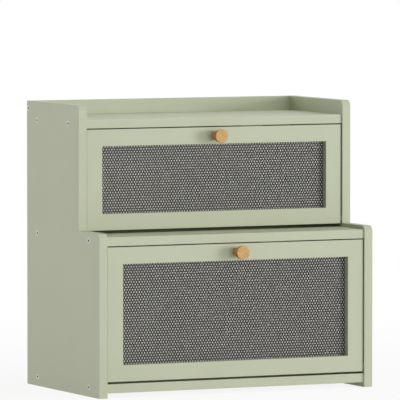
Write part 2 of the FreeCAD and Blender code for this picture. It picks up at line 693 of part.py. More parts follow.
def make_door_frame(tier):
    """Routed frame: its own X = 0 is its middle, Y = 0 its front and Z = 0 its bottom."""
    name = f"{tier.name}_door_frame"
    body = new_body(name)
    blank = new_sketch(body, f"{name}_front", "XZ_Plane", x=f"-{DOOR_WIDTH} / 2")
    rectangle(blank, "outside", "0", "0", DOOR_WIDTH, tier.door_height)
    rectangle(blank, "window", "dims.stile_width", "dims.bottom_rail", WINDOW_WIDTH,
              tier.window_height)
    pad(body, blank, "dims.door_thickness", reverse=True)
    back = value_of("dims.door_thickness")
    top = value_of(tier.door_height)
    half = value_of(DOOR_WIDTH) / 2
    round_edges(body, f"{name}_swinging_edges", "dims.door_bottom_round",
                lambda edge: along_x(edge) and in_plane(edge, "Z", 0))
    round_edges(body, f"{name}_eased_edges", "dims.edge_round",
                lambda edge: (in_plane(edge, "Y", 0) or in_plane(edge, "Y", back) and (
                    in_plane(edge, "Z", top) or in_plane(edge, "X", half)
                    or in_plane(edge, "X", -half))) and not edge.BoundBox.ZMax < 2 * TOUCH)

    rebate = new_sketch(body, f"{name}_rebate", "XZ_Plane", x=f"-{DOOR_WIDTH} / 2",
                        z="-dims.door_thickness")
    rectangle(rebate, "rebate", "dims.stile_width - dims.rebate_width",
              "dims.bottom_rail - dims.rebate_width", f"{WINDOW_WIDTH} + 2 * dims.rebate_width",
              f"{tier.window_height} + 2 * dims.rebate_width")
    pocket(body, rebate, "dims.rebate_depth", forward=True)

    pins = new_sketch(body, f"{name}_pin_hole", "YZ_Plane", z=f"-{DOOR_WIDTH} / 2")
    circle(pins, "pin", "dims.pin_setback", "dims.pin_rise",
           "dims.pin_diameter + 2 * dims.close_fit")
    pin_hole = pocket(body, pins, "dims.pin_in_door + dims.hole_bottom", forward=True)
    mirror_ends(body, f"{name}_other_pin", [pin_hole])

    knob = new_sketch(body, f"{name}_knob_hole", "XZ_Plane")
    circle(knob, "knob", "0", f"{tier.door_height} - dims.top_rail / 2",
           "dims.knob_screw + 2 * dims.close_fit")
    pocket(body, knob, "dims.door_thickness")

    pilots = new_sketch(body, f"{name}_pilot_holes", "XZ_Plane", z="-dims.door_thickness")
    hole = "dims.small_screw + 2 * dims.close_fit"
    for number, (x, z, _) in enumerate(clip_places(tier), 1):
        circle(pilots, f"clip{number}", x, z, hole)
    for end, x in CATCH_SCREWS.items():
        circle(pilots, f"plate_{end}", x, f"{tier.door_height} - dims.plate_drop", hole)
    pocket(body, pilots, "dims.small_screw_length - dims.plate_thickness + dims.hole_bottom",
           forward=True)
    return place(body, "0", tier.front_y, tier.door_bottom)


def clip_places(tier):
    """Each clip's screw, from the door's bottom middle, and the turn towards the window."""
    outside = "(dims.clip_length - dims.clip_reach - dims.clip_screw_edge)"
    low = f"(dims.bottom_rail - dims.rebate_width - {outside})"
    high = f"({tier.door_height} - dims.top_rail + dims.rebate_width + {outside})"
    side = f"({WINDOW_WIDTH} / 2 + dims.rebate_width + {outside})"
    across = f"({WINDOW_WIDTH} / 2 - dims.clip_inset)"
    middle = f"(dims.bottom_rail + {tier.window_height} / 2)"
    return [(f"-{across}", low, 0), (across, low, 0), (f"-{across}", high, 180),
            (across, high, 180), (f"-{side}", middle, 90), (side, middle, -90)]


def make_clip():
    """Clip whose screw is on its own Z axis; it reaches along +Y over the window.

    Its foot lies on the door at Z = 0, and its end on the acrylic, level with the door here.
    """
    body = new_body("window_clip")
    reach = "(dims.clip_reach - dims.sheet_play)"
    foot = new_sketch(body, "window_clip_foot", "XY_Plane", x="-dims.clip_width / 2",
                      y="-dims.clip_screw_edge")
    rectangle(foot, "foot", "0", "0", "dims.clip_width", f"dims.clip_length - {reach}")
    pad(body, foot, "dims.clip_thickness")
    sheet_level = "(dims.sheet_thickness - dims.rebate_depth)"
    end = new_sketch(body, "window_clip_end", "XY_Plane", x="-dims.clip_width / 2",
                     y=f"dims.clip_length - dims.clip_screw_edge - {reach}", z=sheet_level)
    rectangle(end, "end", "0", "0", "dims.clip_width", reach)
    pad(body, end, f"dims.clip_thickness - {sheet_level}")
    ends = (value_of("-dims.clip_screw_edge"),
            value_of("dims.clip_length - dims.clip_screw_edge"))
    round_edges(body, "window_clip_corners", "dims.edge_round",
                lambda edge: edge.BoundBox.XLength < TOUCH
                and any(in_plane(edge, "Y", position) for position in ends))
    hole = new_sketch(body, "window_clip_hole", "XY_Plane", z="dims.clip_thickness")
    circle(hole, "screw", "0", "0", "dims.small_screw + 2 * dims.close_fit")
    pocket(body, hole, "dims.clip_thickness")
    return body


def make_knob():
    """Turned knob that stands on Z = 0, wider towards its face."""
    body = new_body("turned_knob")
    sketch = new_sketch(body, "knob_profile", "XZ_Plane")
    base, rim = "dims.knob_base / 2", "dims.knob_diameter / 2"
    hole = "dims.knob_screw / 2 + dims.close_fit"
    depth = "dims.knob_screw_bite + dims.hole_bottom"
    outline(sketch, ((hole, "0"), (base, "0"), (base, "dims.knob_neck_length"),
                     (rim, "dims.knob_projection - dims.knob_head_length"),
                     (rim, "dims.knob_projection"), ("0", "dims.knob_projection"),
                     ("0", depth), (hole, depth)))
    turn(body, sketch)
    face = value_of("dims.knob_projection")
    shoulder = value_of("dims.knob_projection - dims.knob_head_length")
    widest = value_of("dims.knob_diameter") / 2
    round_edges(body, "knob_rounded_rim", "dims.knob_round",
                lambda edge: edge.BoundBox.XMax > widest - TOUCH
                and (in_plane(edge, "Z", face) or in_plane(edge, "Z", shoulder)))
    return body


def make_washer():
    """Flat washer from Z = 0 upward."""
    body = new_body("knob_washer")
    sketch = new_sketch(body, "knob_washer_ring", "XY_Plane")
    circle(sketch, "outside", "0", "0", "dims.washer_diameter")
    circle(sketch, "inside", "0", "0", "dims.knob_screw + 2 * dims.close_fit")
    pad(body, sketch, "dims.washer_thickness")
    return body


window_clip = make_clip()
turned_knob = make_knob()
knob_washer = make_washer()
knob_screw = make_pan_screw("knob_machine_screw", "dims.knob_screw",
                            "(dims.washer_thickness + dims.door_thickness + dims.knob_screw_bite)",
                            "dims.knob_screw_head", "dims.knob_screw_head_height",
                            "dims.knob_screw_tip")


def make_window(tier):
    """Acrylic sheet in the rebate."""
    body = new_body(f"{tier.name}_window")
    reach = "(dims.rebate_width - dims.sheet_play)"
    width = f"({WINDOW_WIDTH} + 2 * {reach})"
    blank = new_sketch(body, f"{tier.name}_window_blank", "XZ_Plane", x=f"-{width} / 2")
    rectangle(blank, "sheet", "0", "0", width, f"{tier.window_height} + 2 * {reach}")
    pad(body, blank, "dims.sheet_thickness", reverse=True)
    return place(body, "0", f"{tier.rear_y} - dims.rebate_depth",
                 f"{tier.door_bottom} + dims.bottom_rail - {reach}")


def make_plate():
    """Steel plate with two holes; it lies on Z = 0, about its middle."""
    body = new_body("strike_plate")
    half = f"({CATCH_SCREW_X} + dims.plate_end)"
    blank = new_sketch(body, "strike_plate_blank", "XY_Plane", x=f"-{half}",
                       y="-dims.plate_height / 2")
    rectangle(blank, "plate", "0", "0", f"2 * {half}", "dims.plate_height")
    for end, x in (("left", "dims.plate_end"), ("right", f"2 * {half} - dims.plate_end")):
        circle(blank, end, x, "dims.plate_height / 2", "dims.small_screw + 2 * dims.close_fit")
    pad(body, blank, "dims.plate_thickness")
    return body


strike_plate = make_plate()


def fit_door(tier):
    """Everything that swings with one door."""
    rear = tier.rear_y
    node(make_door_frame(tier))
    node(make_window(tier))
    node(copies(f"{tier.name}_window_clips", window_clip, [
        (x, rear, f"{tier.door_bottom} + {z}", TO_BACK * Rotation(Vector(0, 0, 1), 180 + turned))
        for x, z, turned in clip_places(tier)]))
    node(copies(f"{tier.name}_clip_screws", small_screw, [
        (x, f"{rear} + dims.clip_thickness", f"{tier.door_bottom} + {z}", TO_FRONT)
        for x, z, _ in clip_places(tier)]))
    knob_z = f"{tier.door_top} - dims.top_rail / 2"
    node(copies(f"{tier.name}_knob", turned_knob, [("0", tier.front_y, knob_z, TO_FRONT)]))
    node(copies(f"{tier.name}_knob_washer", knob_washer, [("0", rear, knob_z, TO_BACK)]))
    node(copies(f"{tier.name}_knob_screw", knob_screw, [
        ("0", f"{rear} + dims.washer_thickness", knob_z, TO_FRONT)]))
    plate_z = f"{tier.door_top} - dims.plate_drop"
    node(copies(f"{tier.name}_strike_plate", strike_plate, [
        ("dims.catch_offset", rear, plate_z, TO_BACK)]))
    node(copies(f"{tier.name}_strike_screws", small_screw, [
        (x, f"{rear} + dims.plate_thickness", plate_z, TO_FRONT)
        for x in CATCH_SCREWS.values()]))


# ---------------------------------------------------------------- magnetic catches


def make_catch_block(tier):
    """Plastic block under a board, open in front for its magnet; Z = 0 is the board."""
    name = f"{tier.name}_catch"
    body = new_body(name)
    block = new_sketch(body, f"{name}_block", "XZ_Plane", x="-dims.catch_width / 2",
                       y="-dims.catch_height")
    rectangle(block, "block", "0", "0", "dims.catch_width", "dims.catch_height")
    pad(body, block, "dims.catch_depth", reverse=True)
    half = f"({CATCH_SCREW_X} + dims.catch_ear_end)"
    ears = new_sketch(body, f"{name}_ears", "XZ_Plane", x=f"-{half}", y="-dims.catch_ear_height")
    rectangle(ears, "ears", "0", "0", f"2 * {half}", "dims.catch_ear_height")
    pad(body, ears, "dims.catch_depth", reverse=True)
    seat = new_sketch(body, f"{name}_magnet_seat", "XZ_Plane",
                      x="-dims.magnet_width / 2 - dims.close_fit",
                      y=f"{magnet_drop(tier)} - dims.magnet_height / 2 - dims.close_fit")
    rectangle(seat, "seat", "0", "0", "dims.magnet_width + 2 * dims.close_fit",
              "dims.magnet_height + 2 * dims.close_fit")
    pocket(body, seat, "dims.magnet_depth")
    holes = new_sketch(body, f"{name}_screw_holes", "XY_Plane", x=f"-{half}")
    for end, x in (("left", "dims.catch_ear_end"), ("right", f"2 * {half} - dims.catch_ear_end")):
        circle(holes, end, x, "dims.catch_depth / 2", "dims.small_screw + 2 * dims.close_fit")
    pocket(body, holes, "dims.catch_ear_height")
    return place(body, "dims.catch_offset", catch_front(tier), tier.ceiling)


def magnet_drop(tier):
    """Height of the magnet's middle above the board's underside; it is negative."""
    return f"({tier.door_top} - dims.plate_drop - {tier.ceiling})"


def catch_front(tier):
    """Y of the catch's front, just behind the closed door's plate."""
    return f"({tier.rear_y} + dims.plate_thickness + dims.catch_gap)"


def make_magnet(tier):
    """Block magnet, flush with the front of its seat."""
    body = new_body(f"{tier.name}_catch_magnet")
    blank = new_sketch(body, f"{tier.name}_magnet_blank", "XZ_Plane",
                       x="-dims.magnet_width / 2", y="-dims.magnet_height / 2")
    rectangle(blank, "magnet", "0", "0", "dims.magnet_width", "dims.magnet_height")
    pad(body, blank, "dims.magnet_depth", reverse=True)
    return place(body, "dims.catch_offset", catch_front(tier),
                 f"{tier.ceiling} + {magnet_drop(tier)}")


def fit_catch(tier):
    """Block, magnet and screws of one catch."""
    node(make_catch_block(tier))
    node(make_magnet(tier))
    middle = f"{catch_front(tier)} + dims.catch_depth / 2"
    node(copies(f"{tier.name}_catch_screws", small_screw, [
        (x, middle, f"{tier.ceiling} - dims.catch_ear_height", None)
        for x in CATCH_SCREWS.values()]))


for level in (LOWER, UPPER):
    fit_door(level)
    make_hinge(level)
    fit_catch(level)

# ---------------------------------------------------------------- checks and files

doc.recompute()
for item in doc.Objects:
    if "Invalid" in item.State or "Error" in item.State:
        raise RuntimeError(f"{item.Label} failed: {item.State}")
for item in nodes:
    if item.Shape.isNull() or not item.Shape.isValid():
        raise RuntimeError(f"{item.Label} has no valid shape")

os.makedirs("parts", exist_ok=True)
for item in nodes:
    item.Shape.exportStep(f"parts/{item.Label}.step")
    print(item.Label, len(item.Shape.Solids), round(item.Shape.Volume, 1))
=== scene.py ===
"""Finishes, patterned windows, studio and camera for a sage green two-tier bread box."""
import json
import math

import bmesh
import bpy
from mathutils import Euler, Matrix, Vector


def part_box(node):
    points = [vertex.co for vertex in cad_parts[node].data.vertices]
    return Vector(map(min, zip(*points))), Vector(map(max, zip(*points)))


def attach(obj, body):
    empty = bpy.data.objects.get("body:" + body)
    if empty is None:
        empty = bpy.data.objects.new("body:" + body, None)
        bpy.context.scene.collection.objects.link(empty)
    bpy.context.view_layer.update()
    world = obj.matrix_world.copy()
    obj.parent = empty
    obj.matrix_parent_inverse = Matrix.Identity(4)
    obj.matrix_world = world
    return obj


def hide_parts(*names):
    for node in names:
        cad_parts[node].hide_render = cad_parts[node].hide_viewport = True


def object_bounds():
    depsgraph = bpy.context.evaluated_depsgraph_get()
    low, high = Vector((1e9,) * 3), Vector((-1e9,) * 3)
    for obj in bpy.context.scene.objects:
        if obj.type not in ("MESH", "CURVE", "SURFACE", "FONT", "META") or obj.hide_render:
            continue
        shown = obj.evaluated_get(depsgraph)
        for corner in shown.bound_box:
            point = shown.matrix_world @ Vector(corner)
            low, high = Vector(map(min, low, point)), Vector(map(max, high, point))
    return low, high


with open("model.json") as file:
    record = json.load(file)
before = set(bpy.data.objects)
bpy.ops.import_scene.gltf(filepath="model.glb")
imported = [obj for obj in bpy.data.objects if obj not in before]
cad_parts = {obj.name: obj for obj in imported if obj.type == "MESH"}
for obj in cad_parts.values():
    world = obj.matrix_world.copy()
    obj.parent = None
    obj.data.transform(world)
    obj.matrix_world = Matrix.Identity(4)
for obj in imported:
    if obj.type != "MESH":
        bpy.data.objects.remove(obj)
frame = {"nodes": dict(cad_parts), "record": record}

CAD_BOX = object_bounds()
MM = 0.001
TINY = 1e-6

# ---------------------------------------------------------------- sizes

BUMP_PITCH = 3.87 * MM         # middle of one bump to the next along a row
BUMP_HEIGHT = 0.3 * MM
CROWN_WIDTH = 1.75 * MM        # pale top of a bump, a painted highlight, which is an upright oval
CROWN_HEIGHT = 2.3 * MM
BUMP_FOOT = 1.9                # a bump's foot is this many times as wide as its crown
STEPS_PER_BUMP = 4             # mesh lines from one bump's middle to the next
WINDOW_RIM = 5.5 * MM          # flat edge of the window, behind the door frame

# ---------------------------------------------------------------- colours, linear

SAGE = (0.45, 0.485, 0.328)
SAGE_DEEP = (0.435, 0.47, 0.313)
PAINT_SHINE = 1.0              # specular level; 0.5 is plain plastic
WHITE = (1.0, 1.0, 1.0)

# ---------------------------------------------------------------- camera

CAMERA_PLACE = (-3.0694, -6.5365, 0.6837)
CAMERA_YAW = -25.13            # degrees, from looking along +Y
CAMERA_PITCH = -3.44
CAMERA_LENS = 486.5            # millimetres, for the sensor below
SENSOR_WIDTH = 36
CAMERA_REACH = 100             # metres; the floor's far side is still seen


def make_camera():
    """Long lens from the front left, a little above the box."""
    data = bpy.data.cameras.new("camera")
    data.lens = CAMERA_LENS
    data.sensor_width = SENSOR_WIDTH
    data.clip_end = CAMERA_REACH
    camera = bpy.data.objects.new("camera", data)
    camera.location = CAMERA_PLACE
    camera.rotation_euler = Euler((math.radians(90 + CAMERA_PITCH), 0, math.radians(CAMERA_YAW)))
    bpy.context.scene.collection.objects.link(camera)
    bpy.context.scene.camera = camera


# ---------------------------------------------------------------- studio

AMBIENT = 0.31
FLOOR_SIZE = 60.0
FLOOR_COLOUR = (0.97, 0.97, 0.97)
FLOOR_LIFT = 0.88              # share of plain white that the camera sees by the box
SHADOW_REACH = (0.3, 1.2)      # metres from the box's middle over which that share grows to 1

# name: azimuth from the front towards the right, elevation, distance, width, height, watts
LAMPS = {
    "key": (46, 4, 14.0, 6.0, 3.0, 745),
    "front": (4, 3, 14.0, 6.0, 3.0, 398),
    "left": (-122, 6, 14.0, 8.0, 8.0, 625),
    "top": (60, 68, 6.0, 6.0, 6.0, 127),
}


def direct_light_share(nodes, links):
    """1 for what the camera, mirrors and glass see, 0 for what lights the object."""
    path = nodes.new("ShaderNodeLightPath")
    seen = path.outputs["Is Camera Ray"]
    for kind in ("Is Glossy Ray", "Is Transmission Ray"):
        larger = nodes.new("ShaderNodeMath")
        larger.operation = "MAXIMUM"
        links.new(seen, larger.inputs[0])
        links.new(path.outputs[kind], larger.inputs[1])
        seen = larger.outputs["Value"]
    return seen


def make_world():
    """Even light all round, and plain white where the camera looks past the object."""
    world = bpy.data.worlds.new("studio")
    world.use_nodes = True
    nodes, links = world.node_tree.nodes, world.node_tree.links
    nodes.clear()
    light = nodes.new("ShaderNodeBackground")
    light.inputs["Color"].default_value = (*WHITE, 1)
    light.inputs["Strength"].default_value = AMBIENT
    seen = nodes.new("ShaderNodeBackground")
    seen.inputs["Color"].default_value = (*WHITE, 1)
    mix = nodes.new("ShaderNodeMixShader")
    links.new(direct_light_share(nodes, links), mix.inputs["Fac"])
    links.new(light.outputs["Background"], mix.inputs[1])
    links.new(seen.outputs["Background"], mix.inputs[2])
    links.new(mix.outputs["Shader"], nodes.new("ShaderNodeOutputWorld").inputs["Surface"])
    bpy.context.scene.world = world


def make_floor():
    """Plain pale floor that keeps a soft shadow."""
    mesh = bpy.data.meshes.new("floor")
    half = FLOOR_SIZE / 2
    mesh.from_pydata([(-half, -half, 0), (half, -half, 0), (half, half, 0), (-half, half, 0)], [],
                     [(0, 1, 2, 3)])
    material = bpy.data.materials.new("floor")
    material.use_nodes = True
    nodes, links = material.node_tree.nodes, material.node_tree.links
    nodes.clear()
    matt = nodes.new("ShaderNodeBsdfDiffuse")
    matt.inputs["Color"].default_value = (*FLOOR_COLOUR, 1)
    glow = nodes.new("ShaderNodeEmission")
    away = vector_math(material.node_tree, "LENGTH", object_place(material.node_tree))
    lift = stretch_range(material.node_tree, away, *SHADOW_REACH, FLOOR_LIFT, 1)
    share = nodes.new("ShaderNodeMath")
    share.operation = "MULTIPLY"
    links.new(lift, share.inputs[1])
    links.new(direct_light_share(nodes, links), share.inputs[0])
    mix = nodes.new("ShaderNodeMixShader")
    links.new(share.outputs["Value"], mix.inputs["Fac"])
    links.new(matt.outputs["BSDF"], mix.inputs[1])
    links.new(glow.outputs["Emission"], mix.inputs[2])
    links.new(mix.outputs["Shader"], nodes.new("ShaderNodeOutputMaterial").inputs["Surface"])
    mesh.materials.append(material)
    floor = bpy.data.objects.new("floor", mesh)
    bpy.context.scene.collection.objects.link(floor)


def make_lamps():
    """Large soft lamps that look at the middle of the box."""
    middle = (Vector(CAD_BOX[0]) + Vector(CAD_BOX[1])) / 2
    for name, (azimuth, elevation, distance, width, height, watts) in LAMPS.items():
        data = bpy.data.lights.new(name, "AREA")
        data.shape = "RECTANGLE"
        data.size = width
        data.size_y = height
        data.energy = watts
        across = math.cos(math.radians(elevation))
        away = Vector((math.sin(math.radians(azimuth)) * across,
                       -math.cos(math.radians(azimuth)) * across,
                       math.sin(math.radians(elevation))))
        lamp = bpy.data.objects.new(name, data)
        lamp.location = middle + away * distance
        lamp.rotation_euler = away.to_track_quat("Z", "Y").to_euler()
        bpy.context.scene.collection.objects.link(lamp)


# ---------------------------------------------------------------- material helpers


def new_material(name, metallic=0.0):
    """A Principled material; returns it with its node tree and shader."""
    material = bpy.data.materials.new(name)
    material.use_nodes = True
    tree = material.node_tree
    shader = tree.nodes["Principled BSDF"]
    shader.inputs["Metallic"].default_value = metallic
    return material, tree, shader


def object_place(tree, stretch=(1, 1, 1)):
    """The row frame's own coordinates, stretched along each axis."""
    place = tree.nodes.new("ShaderNodeTexCoord").outputs["Object"]
    scaled = tree.nodes.new("ShaderNodeMapping")
    scaled.inputs["Scale"].default_value = stretch
    tree.links.new(place, scaled.inputs["Vector"])
    return scaled.outputs["Vector"]


NOISE_SPAN = (0.3, 0.7)        # nearly all of a noise's values lie in here


def noise(tree, place, size, detail=2.0):
    """Noise whose blots are about size metres across, from 0 to 1."""
    texture = tree.nodes.new("ShaderNodeTexNoise")
    texture.inputs["Scale"].default_value = 1 / size
    texture.inputs["Detail"].default_value = detail
    tree.links.new(place, texture.inputs["Vector"])
    return texture.outputs["Fac"]


def stretch_range(tree, value, low, high, to_low, to_high):
    """Map low..high to to_low..to_high, held within those ends."""
    node = tree.nodes.new("ShaderNodeMapRange")
    tree.links.new(value, node.inputs["Value"])
    for socket, number in (("From Min", low), ("From Max", high),
                           ("To Min", to_low), ("To Max", to_high)):
        node.inputs[socket].default_value = number
    return node.outputs["Result"]


def blend_colours(tree, share, first, second):
    """Colour that goes from first to second as share goes from 0 to 1."""
    node = tree.nodes.new("ShaderNodeMix")
    node.data_type = "RGBA"
    tree.links.new(share, node.inputs["Factor"])
    for socket, colour in (("A", first), ("B", second)):
        target = next(item for item in node.inputs if item.name == socket and item.type == "RGBA")
        if isinstance(colour, tuple):
            target.default_value = (*colour, 1)
        else:
            tree.links.new(colour, target)
    return next(item for item in node.outputs if item.type == "RGBA")


def multiply_colour(tree, share, colour, factor):
    """Colour that is multiplied by factor where share is 1 and left alone where it is 0."""
    node = tree.nodes.new("ShaderNodeMix")
    node.data_type = "RGBA"
    node.blend_type = "MULTIPLY"
    tree.links.new(share, node.inputs["Factor"])
    first, second = (item for item in node.inputs if item.type == "RGBA")
    tree.links.new(colour, first)
    second.default_value = (*factor, 1)
    return next(item for item in node.outputs if item.type == "RGBA")


def vector_math(tree, operation, first, *others):
    """Result of a Vector Math node; every input but the first is a plain vector."""
    node = tree.nodes.new("ShaderNodeVectorMath")
    node.operation = operation
    tree.links.new(first, node.inputs[0])
    for socket, vector in zip(node.inputs[1:], others):
        socket.default_value = vector
    return node.outputs["Value" if operation == "LENGTH" else "Vector"]


def vary_roughness(tree, shader, texture, low, high):
    """Let a noise carry the shader's roughness from low to high."""
    tree.links.new(stretch_range(tree, texture, *NOISE_SPAN, low, high), shader.inputs["Roughness"])


def shaded(colour, share):
    """The colour, darkened to a share of itself."""
    return tuple(channel * share for channel in colour)


def emboss(tree, shader, height, depth):
    """Relief from a height of 0 to 1, over a depth in metres."""
    bump = tree.nodes.new("ShaderNodeBump")
    bump.inputs["Distance"].default_value = depth
    tree.links.new(height, bump.inputs["Height"])
    tree.links.new(bump.outputs["Normal"], shader.inputs["Normal"])


# ---------------------------------------------------------------- materials

SPRAY_CLOUDS = 60 * MM
SPRAY_RIPPLE = 1.6 * MM
RIPPLE_DEPTH = 0.02 * MM
PAINT_ROUGHNESS = (0.40, 0.50)


def painted_board():
    """Sprayed satin paint: faint cloudiness and the fine ripple of a spray gun."""
    material, tree, shader = new_material("sage_paint")
    shader.inputs["Specular IOR Level"].default_value = PAINT_SHINE
    place = object_place(tree)
    clouds = stretch_range(tree, noise(tree, place, SPRAY_CLOUDS), *NOISE_SPAN, 0, 1)
    tree.links.new(blend_colours(tree, clouds, SAGE_DEEP, SAGE), shader.inputs["Base Color"])
    ripple = noise(tree, place, SPRAY_RIPPLE)
    vary_roughness(tree, shader, ripple, *PAINT_ROUGHNESS)
    emboss(tree, shader, ripple, RIPPLE_DEPTH)
    return material


RING_SIZE = 2.5 * MM
RING_STRETCH = 0.88            # 0 leaves the noise as wide as long, 1 draws it out without end
RING_DETAIL = 4
RING_SPAN = (0.35, 0.65)       # values of the rings' noise, from dark to light wood
FLECK_SIZE = 1.1 * MM
FLECK_STRETCH = 0.7
FLECK_SPAN = (0.5, 0.68)       # values of the flecks' noise, from no fleck to a full one
FLECK_SHARE = 0.6              # share of dark wood in a full fleck
FLECK_DEPTH = 0.04 * MM
FLECK_ROUGHNESS = 0.06         # more or less than the wood's own roughness
END_GRAIN = (0.4, 0.9)         # part of a face's normal along the grain: from side to end grain, over which the painted shade fades out
SIDE_PAINTED_SHADE = (0.88, 0.68, 0.45)    # painted shade on the side grain: what it does to the wood's colour


def beech(name, grain, light, dark, roughness):
    """Turned beech whose grain is a unit vector: growth rings, fine flecks and pores.

    The side grain is given painted shade, deeper and warmer in colour than the end grain.
    """
    material, tree, shader = new_material(name)
    even = Vector((1, 1, 1))
    rings = noise(tree, object_place(tree, even - RING_STRETCH * grain), RING_SIZE, RING_DETAIL)
    flecks = noise(tree, object_place(tree, even - FLECK_STRETCH * grain), FLECK_SIZE)
    tone = blend_colours(tree, stretch_range(tree, rings, *RING_SPAN, 0, 1), dark, light)
    fleck_share = stretch_range(tree, flecks, *FLECK_SPAN, 0, FLECK_SHARE)
    flecked = blend_colours(tree, fleck_share, tone, dark)
    facing = tree.nodes.new("ShaderNodeTexCoord").outputs["Normal"]
    along = vector_math(tree, "LENGTH", vector_math(tree, "MULTIPLY", facing, grain))
    # painted shade on faces across the grain: full on side grain, none on end grain
    side = stretch_range(tree, along, *END_GRAIN, 1, 0)
    tree.links.new(multiply_colour(tree, side, flecked, SIDE_PAINTED_SHADE), shader.inputs["Base Color"])
    vary_roughness(tree, shader, flecks, roughness - FLECK_ROUGHNESS, roughness + FLECK_ROUGHNESS)
    emboss(tree, shader, flecks, FLECK_DEPTH)
    return material


PATCH_SIZE = 4 * MM
PATCH_SHADE = 0.82
SCRATCH_SIZE = 1.2 * MM
SCRATCH_STRETCH = (1, 8, 8)    # scratches run along X
POLISHED = 0.08                # how much less rough than its mean a scratched metal gets
SCRATCHED = 0.1                # and how much rougher


def metal(name, colour, roughness):
    """Plated or drawn steel with fine scratches and a slightly uneven sheen."""
    material, tree, shader = new_material(name, metallic=1.0)
    patches = noise(tree, object_place(tree), PATCH_SIZE)
    tree.links.new(blend_colours(tree, patches, shaded(colour, PATCH_SHADE), colour),
                   shader.inputs["Base Color"])
    scratches = noise(tree, object_place(tree, SCRATCH_STRETCH), SCRATCH_SIZE)
    vary_roughness(tree, shader, scratches, roughness - POLISHED, roughness + SCRATCHED)
    return material


SCREW_COLOUR = (0.60, 0.61, 0.62)
SCREW_ROUGHNESS = 0.38
# painted shade: colour of the inside of a screw's socket
SOCKET_PAINTED_SHADE = (0.02, 0.02, 0.022)
SOCKET_SHADE = 0.1 * MM        # depth below the panel's face at which the socket's painted shade is full


def sunk_screw():
    """Plated screw in a side panel, with painted shade inside its socket."""
    material = metal("screw_steel", SCREW_COLOUR, SCREW_ROUGHNESS)
    tree = material.node_tree
    colour = tree.nodes["Principled BSDF"].inputs["Base Color"]
    plating = colour.links[0].from_socket
    apart = tree.nodes.new("ShaderNodeSeparateXYZ")
    tree.links.new(vector_math(tree, "ABSOLUTE", object_place(tree)), apart.inputs["Vector"])
    face = CAD_BOX[1][0]
    # painted shade fills the socket below the panel's face
    share = stretch_range(tree, apart.outputs["X"], face - SOCKET_SHADE, face, 0, 1)
    tree.links.new(blend_colours(tree, share, SOCKET_PAINTED_SHADE, plating), colour)
    return material


SPARK_GRAIN = 0.5 * MM
SPARK_DEPTH = 0.015 * MM
SPARK_SHADE = 0.93
SPARK_ROUGHNESS = 0.05         # more or less than the plastic's own roughness


def moulded(name, colour, roughness):
    """Moulded plastic with a fine spark-eroded grain."""
    material, tree, shader = new_material(name)
    grain = noise(tree, object_place(tree), SPARK_GRAIN)
    tree.links.new(blend_colours(tree, grain, shaded(colour, SPARK_SHADE), colour),
                   shader.inputs["Base Color"])
    vary_roughness(tree, shader, grain, roughness - SPARK_ROUGHNESS, roughness + SPARK_ROUGHNESS)
    emboss(tree, shader, grain, SPARK_DEPTH)
    return material


# painted shade: the dim inside of the box as seen through the flats between the bumps
WEB_PAINTED_SHADE = (0.030, 0.029, 0.026)
# painted highlight on the crown of each bump
CROWN_PAINTED_HIGHLIGHT = (0.455, 0.443, 0.41)
WEB_SOLID = 0.72               # how much of the light the flats between bumps keep back
CROWN_FADE = (0.88, 1.12)      # where the painted highlight's oval fades, as a share of its size
WAVE_SIZE = 9 * MM
WAVE_ROUGHNESS = (0.10, 0.20)
BACK_COLOUR = (0.30, 0.31, 0.30)
BACK_SOLID = 0.12
SMEAR_SIZE = 14 * MM
SMEAR_STRETCH = (1, 1, 0.5)    # smears run up and down
SMEAR_ROUGHNESS = (0.05, 0.16)


def distance_from_crown(tree):
    """How far a point is from the nearest bump's middle; the outline of its crown's painted
    highlight is at 1.

    A honeycomb is two rectangular grids, one half a cell to the side of the other.
    """
    place = object_place(tree)
    cell = Vector((BUMP_PITCH, 1, BUMP_PITCH * math.sqrt(3)))
    distances = []
    for shift in (Vector((0, 0, 0)), cell / 2):
        shifted = vector_math(tree, "ADD", place, shift)
        in_cell = vector_math(tree, "WRAP", shifted, cell / 2, -cell / 2)
        in_crowns = vector_math(tree, "MULTIPLY", in_cell,
                                Vector((2 / CROWN_WIDTH, 0, 2 / CROWN_HEIGHT)))
        distances.append(vector_math(tree, "LENGTH", in_crowns))
    nearest = tree.nodes.new("ShaderNodeMath")
    nearest.operation = "MINIMUM"
    for distance, socket in zip(distances, nearest.inputs):
        tree.links.new(distance, socket)
    return nearest.outputs["Value"]


def patterned_acrylic():
    """Acrylic whose bump crowns carry painted highlights and whose flats between the bumps carry
    painted shade, dark and clear.
    """
    material, tree, shader = new_material("patterned_acrylic")
    painted_highlight = stretch_range(tree, distance_from_crown(tree), *CROWN_FADE, 1, 0)
    # painted highlights on the crowns, painted shade on the flats between them
    tree.links.new(blend_colours(tree, painted_highlight, WEB_PAINTED_SHADE, CROWN_PAINTED_HIGHLIGHT), shader.inputs["Base Color"])
    tree.links.new(stretch_range(tree, painted_highlight, 0, 1, WEB_SOLID, 1), shader.inputs["Alpha"])
    vary_roughness(tree, shader, noise(tree, object_place(tree), WAVE_SIZE), *WAVE_ROUGHNESS)
    return material


def clear_acrylic():
    """The window's smooth back and edges."""
    material, tree, shader = new_material("clear_acrylic")
    shader.inputs["Base Color"].default_value = (*BACK_COLOUR, 1)
    shader.inputs["Alpha"].default_value = BACK_SOLID
    smears = noise(tree, object_place(tree, SMEAR_STRETCH), SMEAR_SIZE)
    vary_roughness(tree, shader, smears, *SMEAR_ROUGHNESS)
    return material


# ---------------------------------------------------------------- windows


